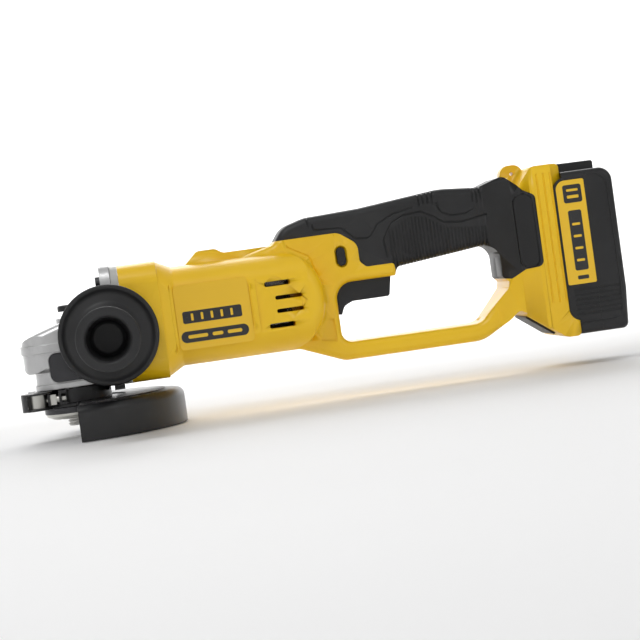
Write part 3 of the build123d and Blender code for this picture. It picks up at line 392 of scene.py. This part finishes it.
def mergedCopy(name, *nodes):
    # one closed mesh from copies of the frame's nodes
    work = bmesh.new()
    for node in nodes:
        work.from_mesh(frame["nodes"][node].data)
    bmesh.ops.remove_doubles(work, verts=work.verts, dist=1e-6)
    mesh = bpy.data.meshes.new(name)
    work.to_mesh(mesh)
    work.free()
    return mesh


def roundedPath(points, radii, steps=6):
    # polyline with its corners turned into arcs; the two ends stay
    path = []
    for index, (point, radius) in enumerate(zip(points, radii)):
        corner = Vector(point)
        if radius <= 0 or index in (0, len(points) - 1):
            path.append(corner)
            continue
        before = Vector(points[index - 1]) - corner
        after = Vector(points[index + 1]) - corner
        half = before.angle(after) / 2
        reach = min(radius / math.tan(half), before.length * 0.49, after.length * 0.49)
        first = corner + before.normalized() * reach
        last = corner + after.normalized() * reach
        for step in range(steps + 1):
            t = step / steps
            path.append(first * (1 - t) ** 2 + corner * 2 * t * (1 - t) + last * t ** 2)
    return path


def sweptTree(name):
    # a round section swept along every edge path of the mesh, with rounded corners and closed ends
    tree = bpy.data.node_groups.new(name, "GeometryNodeTree")
    face = tree.interface
    face.new_socket("Paths", in_out="INPUT", socket_type="NodeSocketGeometry")
    for label, value in (("Section Radius", 0.0006), ("Corner Radius", 0.004)):
        face.new_socket(label, in_out="INPUT", socket_type="NodeSocketFloat").default_value = value
    face.new_socket("Section Points", in_out="INPUT", socket_type="NodeSocketInt").default_value = 8
    face.new_socket("Material", in_out="INPUT", socket_type="NodeSocketMaterial")
    face.new_socket("Result", in_out="OUTPUT", socket_type="NodeSocketGeometry")
    make, link = tree.nodes.new, tree.links.new
    source, result = make("NodeGroupInput"), make("NodeGroupOutput")
    curve, bend = make("GeometryNodeMeshToCurve"), make("GeometryNodeFilletCurve")
    bend.mode = "POLY"
    bend.inputs["Count"].default_value = 6
    section, sweep = make("GeometryNodeCurvePrimitiveCircle"), make("GeometryNodeCurveToMesh")
    sweep.inputs["Fill Caps"].default_value = True
    real, paint = make("GeometryNodeRealizeInstances"), make("GeometryNodeSetMaterial")
    link(source.outputs["Paths"], curve.inputs["Mesh"])
    link(curve.outputs["Curve"], bend.inputs["Curve"])
    link(source.outputs["Corner Radius"], bend.inputs["Radius"])
    link(source.outputs["Section Points"], section.inputs["Resolution"])
    link(source.outputs["Section Radius"], section.inputs["Radius"])
    link(bend.outputs["Curve"], sweep.inputs["Curve"])
    link(section.outputs["Curve"], sweep.inputs["Profile Curve"])
    link(sweep.outputs["Mesh"], real.inputs["Geometry"])
    link(real.outputs["Geometry"], paint.inputs["Geometry"])
    link(source.outputs["Material"], paint.inputs["Material"])
    link(paint.outputs["Geometry"], result.inputs["Result"])
    return tree


def grownMesh(name, tree, base, values):
    # evaluates a node tree on a mesh and returns a plain mesh
    host = bpy.data.objects.new(name + "Host", base)
    bpy.context.collection.objects.link(host)
    modifier = host.modifiers.new("grow", "NODES")
    modifier.node_group = tree
    for item in tree.interface.items_tree:
        if item.in_out == "INPUT" and item.name in values:
            modifier[item.identifier] = values[item.name]
    view = bpy.context.evaluated_depsgraph_get()
    mesh = bpy.data.meshes.new_from_object(host.evaluated_get(view))
    mesh.name = name
    host.modifiers.remove(modifier)
    bpy.data.objects.remove(host)
    return fixedFaces(mesh)


def pathMesh(paths):
    mesh = bpy.data.meshes.new("paths")
    points, edges = [], []
    for path in paths:
        start = len(points)
        points += [tuple(v / 1000 for v in point) for point in path]
        edges += [(start + k, start + k + 1) for k in range(len(path) - 1)]
    mesh.from_pydata(points, edges, [])
    return mesh


def carved(mesh, cutter, name):
    # takes the cutter's volume out of the mesh
    body = bpy.data.objects.new(name, mesh)
    tool = bpy.data.objects.new(name + "Cutter", cutter)
    for thing in (body, tool):
        bpy.context.collection.objects.link(thing)
    cut = body.modifiers.new("cut", "BOOLEAN")
    cut.operation, cut.object, cut.solver, cut.use_self = "DIFFERENCE", tool, "EXACT", True
    view = bpy.context.evaluated_depsgraph_get()
    result = bpy.data.meshes.new_from_object(body.evaluated_get(view))
    result.name = name
    bpy.data.objects.remove(body)
    bpy.data.objects.remove(tool)
    return result


sweepPaths = sweptTree("sweepPaths")

# soft grip: grooves, notch bands and palm ribs cut into the overmould
gripLook = {"halfWidth": 18.0, "ribFirst": 221.5, "ribLast": 287.5, "ribPitch": 2.3, "ribRadius": 0.62,
            "grooveRadius": 0.75, "notchRadius": 0.6, "cornerRadius": 4.4,
            "notches": ((243.5, 103), (246.5, 104), (249.5, 104), (252.5, 103), (280, 101), (282.6, 100),
                        (285.2, 101), (168, 99)),
            "back": ((151, 101.5), (166, 105.6), (203, 107.2), (258, 112.3), (284, 110.6))}


def undersideOf(x):
    return 65.0 + (x - 224.0) * 0.1 if x > 224 else 65.0


def palmTop(x):
    # upper edge of the ribbed palm area: an arch that falls off behind the trigger finger
    arch = 96.5 - ((x - 239.0) / 20.0) ** 2 * 11
    return max(arch, 86.0 - (x - 262.0) * 0.10)


def gripGrooves():
    half = gripLook["halfWidth"]
    ribs, lines = [], []
    count = int((gripLook["ribLast"] - gripLook["ribFirst"]) / gripLook["ribPitch"])
    for index in range(count + 1):
        x = gripLook["ribFirst"] + index * gripLook["ribPitch"]
        low, high = undersideOf(x) + 0.1, palmTop(x)
        ribs.append([(x, -half, high), (x, -half, low), (x, half, low), (x, half, high)])
    notches = []
    for x, low in gripLook["notches"]:
        top = gripTop(x)
        notches.append([(x, -half, low), (x, -half, top), (x, half, top), (x, half, low)])
    panels = [
        [(171, 101), (171, 96.5), (190, 95.8), (198, 87.5), (208, 86.5), (214, 95), (226, 100.5), (239, 103)],
        [(217.5, 72), (216.8, 84), (223, 94), (232, 98.5), (244, 99.5), (252, 95), (258, 90.5), (270, 89),
         (288, 91.5)],
        [(255.5, 104), (257, 97.5), (264, 94), (274, 94), (281, 96.5)],
        [(223, 78), (229, 73.5), (236, 70)],
    ]
    for panel in panels:
        smooth = roundedPath([(x, 0, z) for x, z in panel], [5] * len(panel), 5)
        for side in (-1, 1):
            lines.append([(p[0], side * half, p[2]) for p in smooth])
    return ribs, notches, lines


def gripTop(x):
    # height of the grip's back at x
    backLine = gripLook["back"]
    for (x0, z0), (x1, z1) in zip(backLine, backLine[1:]):
        if x <= x1:
            return z0 + (z1 - z0) * (x - x0) / (x1 - x0)
    return backLine[-1][1]


def makeGrip():
    ribs, notches, lines = gripGrooves()
    cutters = bmesh.new()
    bend = gripLook["cornerRadius"]
    cuts = ((ribs, "ribRadius", bend), (notches, "notchRadius", bend), (lines, "grooveRadius", 0.0))
    for paths, radius, corner in cuts:
        grown = grownMesh("gripCut", sweepPaths, pathMesh(paths), {
            "Section Radius": gripLook[radius] / 1000, "Corner Radius": corner / 1000, "Section Points": 8,
            "Material": finishes["grip_rubber"]})
        cutters.from_mesh(grown)
    cutter = bpy.data.meshes.new("gripCutter")
    cutters.to_mesh(cutter)
    cutters.free()
    for side in ("left", "right"):
        node = "grip_overmould_" + side
        mesh = carved(mergedCopy(node, node), cutter, "softGrip" + side.capitalize())
        addPiece("softGrip" + side.capitalize(), smoothed(mesh, 40), "grip_rubber", "tool", node)


makeGrip()
print("soft grip done")

# side handle: turned body with a dished hand guard, flutes and a hollow end
handleLook = {"flutes": 16, "fluteDepth": 0.45, "fluteStart": 66.0, "fluteEnd": 130.0, "sides": 192,
              "flangeRadius": 32.7, "endRadius": 19.6}


def makeHandle():
    low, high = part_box("handle_grip")
    centreX, centreZ = (low[0] + high[0]) / 2, (low[2] + high[2]) / 2
    base, end = -high[1] * 1000, -low[1] * 1000
    flange, rim = handleLook["flangeRadius"], handleLook["endRadius"]
    points = [
        (0, base + 26), (4.1, base + 26), (4.1, base), (12.5, base), (12.5, base + 4.2),
        (flange - 4, base + 4.4),
        (flange, base + 5.4), (flange, base + 9), (flange - 2.6, base + 9.3), (flange - 5, base + 7.9),
        (21.5, base + 9.6), (17.2, base + 13), (15.2, base + 20), (17.4, base + 55), (15.6, end - 15),
        (17.6, end - 7), (rim, end - 4.6), (rim, end - 0.2), (rim - 1.2, end), (14.6, end), (13.3, end - 1.6),
        (11.2, end - 27), (9, end - 29.6), (0, end - 29.6),
    ]
    radii = [0, 0, 0, 0.8, 1.5, 4, 1.6, 1.6, 1.4, 5, 6, 6, 12, 50, 24, 5, 2, 1, 1, 1.2, 1.2, 3, 2, 0]
    profile = roundedPath([(r, y, 0) for r, y in points], radii, 5)
    dense = []
    for first, last in zip(profile, profile[1:]):
        steps = max(1, int((last - first).length / 3.0))
        dense += [first.lerp(last, k / steps) for k in range(steps)]
    dense.append(profile[-1])
    work = bmesh.new()
    sides = handleLook["sides"]
    rings = []
    for r, y, _ in dense:
        fade = min(1.0, max(0.0, min(y - handleLook["fluteStart"], handleLook["fluteEnd"] - y) / 5.0))
        outside = fade if r > 14 else 0.0
        ring = []
        for k in range(1 if r < 1e-6 else sides):
            angle = 2 * math.pi * k / sides
            wave = abs(math.sin(handleLook["flutes"] * angle / 2))
            radius = (r - handleLook["fluteDepth"] * outside * (1 - wave) ** 2 * 2) / 1000
            place = (centreX + radius * math.cos(angle), -y / 1000, centreZ + radius * math.sin(angle))
            ring.append(work.verts.new(place))
        rings.append(ring)
    for first, last in zip(rings, rings[1:]):
        for k in range(sides):
            corners = []
            for ring, index in ((first, k), (first, k + 1), (last, k + 1), (last, k)):
                corner = ring[index % len(ring)]
                if corner not in corners:
                    corners.append(corner)
            if len(corners) > 2:
                work.faces.new(corners)
    bmesh.ops.recalc_face_normals(work, faces=work.faces)
    mesh = bpy.data.meshes.new("sideHandle")
    work.to_mesh(mesh)
    work.free()
    addPiece("sideHandle", smoothed(mesh, 50), "grip_rubber", "side_handle", "handle_grip")


makeHandle()
print("side handle done")

# housing: foot lines, a barrel frame line and a web line cut into both halves
housingLook = {"grooveRadius": 0.55, "footLines": (321.0, 325.6, 330.0), "footLow": 27.0, "footHigh": 113.0,
               "footFace": 37.0, "barrelFace": 34.0, "webFace": 18.0, "cornerRadius": 3.0,
               "barrelFrame": ((70.5, 28.5), (123, 28.5), (123, 75), (70.5, 75), (70.5, 28.5)),
               "webLine": ((160, 24), (168, 40), (171, 62), (166, 80), (152, 88))}


def housingLines(side):
    foot, barrel, web = (side * housingLook[key] for key in ("footFace", "barrelFace", "webFace"))
    lines = []
    taperStart, taperEnd, taperDrop = 317, 337, 1.5
    for x in housingLook["footLines"]:
        taper = max(0.0, taperEnd - x) / (taperEnd - taperStart)
        narrow = 1.0 - taper * (taperDrop / housingLook["footFace"])
        lines.append([(x, foot * narrow, housingLook[end]) for end in ("footLow", "footHigh")])
    lines.append([(x, barrel, z) for x, z in housingLook["barrelFrame"]])
    lines.append([(x, web, z) for x, z in housingLook["webLine"]])
    return lines


def makeHousing():
    for side, sign in (("left", -1), ("right", 1)):
        node = "housing_" + side
        grown = grownMesh(node + "Cut", sweepPaths, pathMesh(housingLines(sign)), {
            "Section Radius": housingLook["grooveRadius"] / 1000,
            "Corner Radius": housingLook["cornerRadius"] / 1000, "Section Points": 8,
            "Material": finishes["yellow_plastic"]})
        mesh = carved(mergedCopy(node, node), grown, "shell" + side.capitalize())
        addPiece("shell" + side.capitalize(), smoothed(mesh, 32), "yellow_plastic", "tool", node)


makeHousing()
print("housing shells done")

# battery pack: a raised frame round its side panel and ribs on the release button; the pale marks
# end just under the case's face, and a smaller markDepth would bring them out
packLook = {"face": 36.95, "frameRadius": 0.5, "markRadius": 0.9, "markDepth": 0.9, "buttonRibs": 7,
            "buttonRibRadius": 0.55, "buttonHalf": 11.0, "buttonMargin": 4.5,
            "frame": ((353.5, 109), (360, 109), (366.8, 103), (367.4, 34), (366.6, 15), (361, 11.3),
                      (338, 11.3)),
            "frameCorners": (0, 5, 6, 8, 6, 6, 0),
            "marks": ((357, 44, 52), (360, 44, 52), (357, 56, 66), (360, 60, 66), (357, 84, 102),
                      (360, 84, 96))}


def makePackTrim():
    frames, marks = [], []
    for side in (-1, 1):
        y = side * packLook["face"]
        outline = [(x, y, z) for x, z in packLook["frame"]]
        frames.append(roundedPath(outline, packLook["frameCorners"], 5))
        faceY = side * (packLook["face"] + 0.05 - packLook["markDepth"])
        for x, low, high in packLook["marks"]:
            marks.append([(x, faceY, low), (x, faceY, high)])
    trims = (("packFrame", frames, "frameRadius", "black_plastic"),
             ("packMarks", marks, "markRadius", "light_plastic"))
    for name, paths, radius, finish in trims:
        grown = grownMesh(name, sweepPaths, pathMesh(paths), {
            "Section Radius": packLook[radius] / 1000, "Corner Radius": 0.0, "Section Points": 10,
            "Material": finishes[finish]})
        addPiece(name, smoothed(grown, 40), finish, "battery")
    low, high = (tuple(v * 1000 for v in corner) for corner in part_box("pack_button"))
    ribs = []
    margin, half, ribRadius = (packLook[key] for key in ("buttonMargin", "buttonHalf", "buttonRibRadius"))
    for k in range(packLook["buttonRibs"]):
        x = low[0] + margin + k * (high[0] - low[0] - 2 * margin) / (packLook["buttonRibs"] - 1)
        ribs.append([(x, -half, high[2] - ribRadius), (x, half, high[2] - ribRadius)])
    grown = grownMesh("buttonRibs", sweepPaths, pathMesh(ribs), {
        "Section Radius": ribRadius / 1000, "Corner Radius": 0.0, "Section Points": 10,
        "Material": finishes["black_plastic"]})
    addPiece("buttonRibs", smoothed(grown, 40), "black_plastic", "pack_button")


makePackTrim()
print("pack trim done")

# black sleeve behind the vents: a fine wire mesh that paints in the shade of the motor room, so the motor
# room stays dark through the vents
shadeScreenLook = {"radius": 23.75, "wireRadius": 0.19, "from": 133.2, "to": 149.2, "axisHeight": 52.5,
              "rings": 14, "ringSteps": 60, "posts": 330}


def makeShadeScreen():
    start, end, steps = shadeScreenLook["from"], shadeScreenLook["to"], shadeScreenLook["ringSteps"]

    def onScreen(x, angle):
        radius = shadeScreenLook["radius"]
        return x, radius * math.cos(angle), shadeScreenLook["axisHeight"] + radius * math.sin(angle)

    paths = []
    for k in range(shadeScreenLook["posts"]):
        angle = 2 * math.pi * k / shadeScreenLook["posts"]
        paths.append([onScreen(start, angle), onScreen(end, angle)])
    for k in range(shadeScreenLook["rings"]):
        x = start + k * (end - start) / (shadeScreenLook["rings"] - 1)
        paths.append([onScreen(x, 2 * math.pi * t / steps) for t in range(steps + 1)])
    # the black mesh is painted shade, standing in for the dark inside of the motor room
    grown = grownMesh("shadeScreen", sweepPaths, pathMesh(paths), {
        "Section Radius": shadeScreenLook["wireRadius"] / 1000, "Corner Radius": 0.0, "Section Points": 6,
        "Material": finishes["black_plastic"]})
    addPiece("shadeScreen", smoothed(grown, 40), "black_plastic", "tool")


makeShadeScreen()
print("air screen done")

# spindle end: the frame's shaft above the flange, with a cut thread below it
threadLook = {"crest": 6.98, "depth": 0.85, "pitch": 2.0, "top": 0.6, "bottom": -9.3, "sides": 72,
              "steps": 150, "chamfer": 1.0, "overlap": 0.3}


def makeSpindle():
    mesh = mergedCopy("threadedSpindle", "spindle")
    work = bmesh.new()
    work.from_mesh(mesh)
    top, bottom = threadLook["top"], threadLook["bottom"]
    everything = work.verts[:] + work.edges[:] + work.faces[:]
    cut = bmesh.ops.bisect_plane(work, geom=everything, plane_co=(0, 0, (top - threadLook["overlap"]) / 1000),
                                 plane_no=(0, 0, 1), clear_inner=True)
    rim = [item for item in cut["geom_cut"] if isinstance(item, bmesh.types.BMEdge)]
    bmesh.ops.holes_fill(work, edges=rim)
    rings = []
    for step in range(threadLook["steps"] + 1):
        z = bottom + (top - bottom) * step / threadLook["steps"]
        ring = []
        for k in range(threadLook["sides"]):
            turn = k / threadLook["sides"]
            phase = (z / threadLook["pitch"] - turn) % 1.0
            tooth = min(1.0, abs(phase - 0.5) * 2 * 1.3)
            radius = threadLook["crest"] - threadLook["depth"] * tooth
            radius = min(radius, threadLook["crest"] - max(0.0, threadLook["chamfer"] - (z - bottom)))
            angle = 2 * math.pi * turn
            place = (radius * math.cos(angle) / 1000, radius * math.sin(angle) / 1000, z / 1000)
            ring.append(work.verts.new(place))
        rings.append(ring)
    count = threadLook["sides"]
    for lower, upper in zip(rings, rings[1:]):
        for k in range(count):
            work.faces.new((lower[k], lower[(k + 1) % count], upper[(k + 1) % count], upper[k]))
    work.faces.new(rings[-1])
    work.faces.new(list(reversed(rings[0])))
    bmesh.ops.recalc_face_normals(work, faces=work.faces)
    work.to_mesh(mesh)
    work.free()
    addPiece("threadedSpindle", smoothed(mesh, 40), "bright_steel", "spindle", "spindle")


makeSpindle()
print("spindle done")

# stage, lights and camera
stage = {"floorDrop": 0.0004, "front": -2.2, "bend": 1.0, "rise": 2.6, "half": 2.6, "bendRadius": 0.8}


def makeFloor():
    # pale paper sweep: flat under the tool, turned up far behind it
    low = cadBox[0][2] - stage["floorDrop"]
    path = [(stage["front"], low), (stage["bend"], low)]
    for step in range(1, 13):
        angle = step / 12 * math.pi / 2
        path.append((stage["bend"] + stage["bendRadius"] * math.sin(angle),
                     low + stage["bendRadius"] * (1 - math.cos(angle))))
    path.append((path[-1][0], low + stage["rise"]))
    mesh = bpy.data.meshes.new("floor")
    points = [(side * stage["half"], y, z) for y, z in path for side in (-1, 1)]
    faces = [(2 * k, 2 * k + 1, 2 * k + 3, 2 * k + 2) for k in range(len(path) - 1)]
    mesh.from_pydata(points, [], faces)
    mesh.polygons.foreach_set("use_smooth", [True] * len(faces))
    floor = bpy.data.objects.new("floor", mesh)
    bpy.context.collection.objects.link(floor)
    surface = Surface("floorPaper", roughness=0.8)
    surface.feed("Base Color", surface.mix(surface.noise(3), tone(0.92, 0.92, 0.92), tone(0.95, 0.95, 0.95)))
    mesh.materials.append(surface.material)


def addLight(name, place, target, energy, size):
    data = bpy.data.lights.new(name, "AREA")
    data.energy = energy
    data.size = size
    lamp = bpy.data.objects.new(name, data)
    bpy.context.collection.objects.link(lamp)
    lamp.location = place
    lamp.rotation_euler = (Vector(target) - Vector(place)).to_track_quat("-Z", "Y").to_euler()


lightLook = {
    "sky": 0.46,
    "centre": (0.16, 0, 0.05),
    # name: place, target, watts, width
    "lamps": {
        "keyLight": ((-0.35, -0.9, 1.3), "centre", 5.8, 0.6),
        "fillLight": ((0.9, -1.0, 0.5), "centre", 0.8, 0.5),
        "rimLight": ((0.2, 0.9, 0.9), "centre", 2.4, 0.8),
        "sweepLight": ((0.2, 0.6, 1.9), (0.2, 2.5, 1.5), 60, 1.6),
    },
}


def makeLights():
    world = bpy.data.worlds.new("studio")
    world.use_nodes = True
    background = world.node_tree.nodes["Background"]
    background.inputs["Color"].default_value = (1, 1, 1, 1)
    background.inputs["Strength"].default_value = lightLook["sky"]
    bpy.context.scene.world = world
    bpy.context.scene.view_settings.view_transform = "Standard"
    for name, (place, target, watts, width) in lightLook["lamps"].items():
        addLight(name, place, lightLook["centre"] if target == "centre" else target, watts, width)


cameraLook = {"place": (0.0385, -1.450, 0.0797), "target": (0.169, 0.0, 0.0367), "roll": 8, "lens": 121.9,
              "sensor": 36}


def makeCamera():
    # stands back from the tool's handle side, rolled so the tool climbs to the right
    place, target = Vector(cameraLook["place"]), Vector(cameraLook["target"])
    roll = math.radians(cameraLook["roll"])
    forward = (target - place).normalized()
    right = forward.cross(Vector((0, 0, 1))).normalized()
    up = right.cross(forward)
    tiltedRight = right * math.cos(roll) - up * math.sin(roll)
    tiltedUp = right * math.sin(roll) + up * math.cos(roll)
    data = bpy.data.cameras.new("camera")
    data.lens = cameraLook["lens"]
    data.sensor_width = cameraLook["sensor"]
    camera = bpy.data.objects.new("camera", data)
    bpy.context.collection.objects.link(camera)
    turn = Matrix((tiltedRight, tiltedUp, -forward)).transposed()
    camera.matrix_world = Matrix.Translation(place) @ turn.to_4x4()
    bpy.context.scene.camera = camera


makeFloor()
makeLights()
makeCamera()
print("stage set")
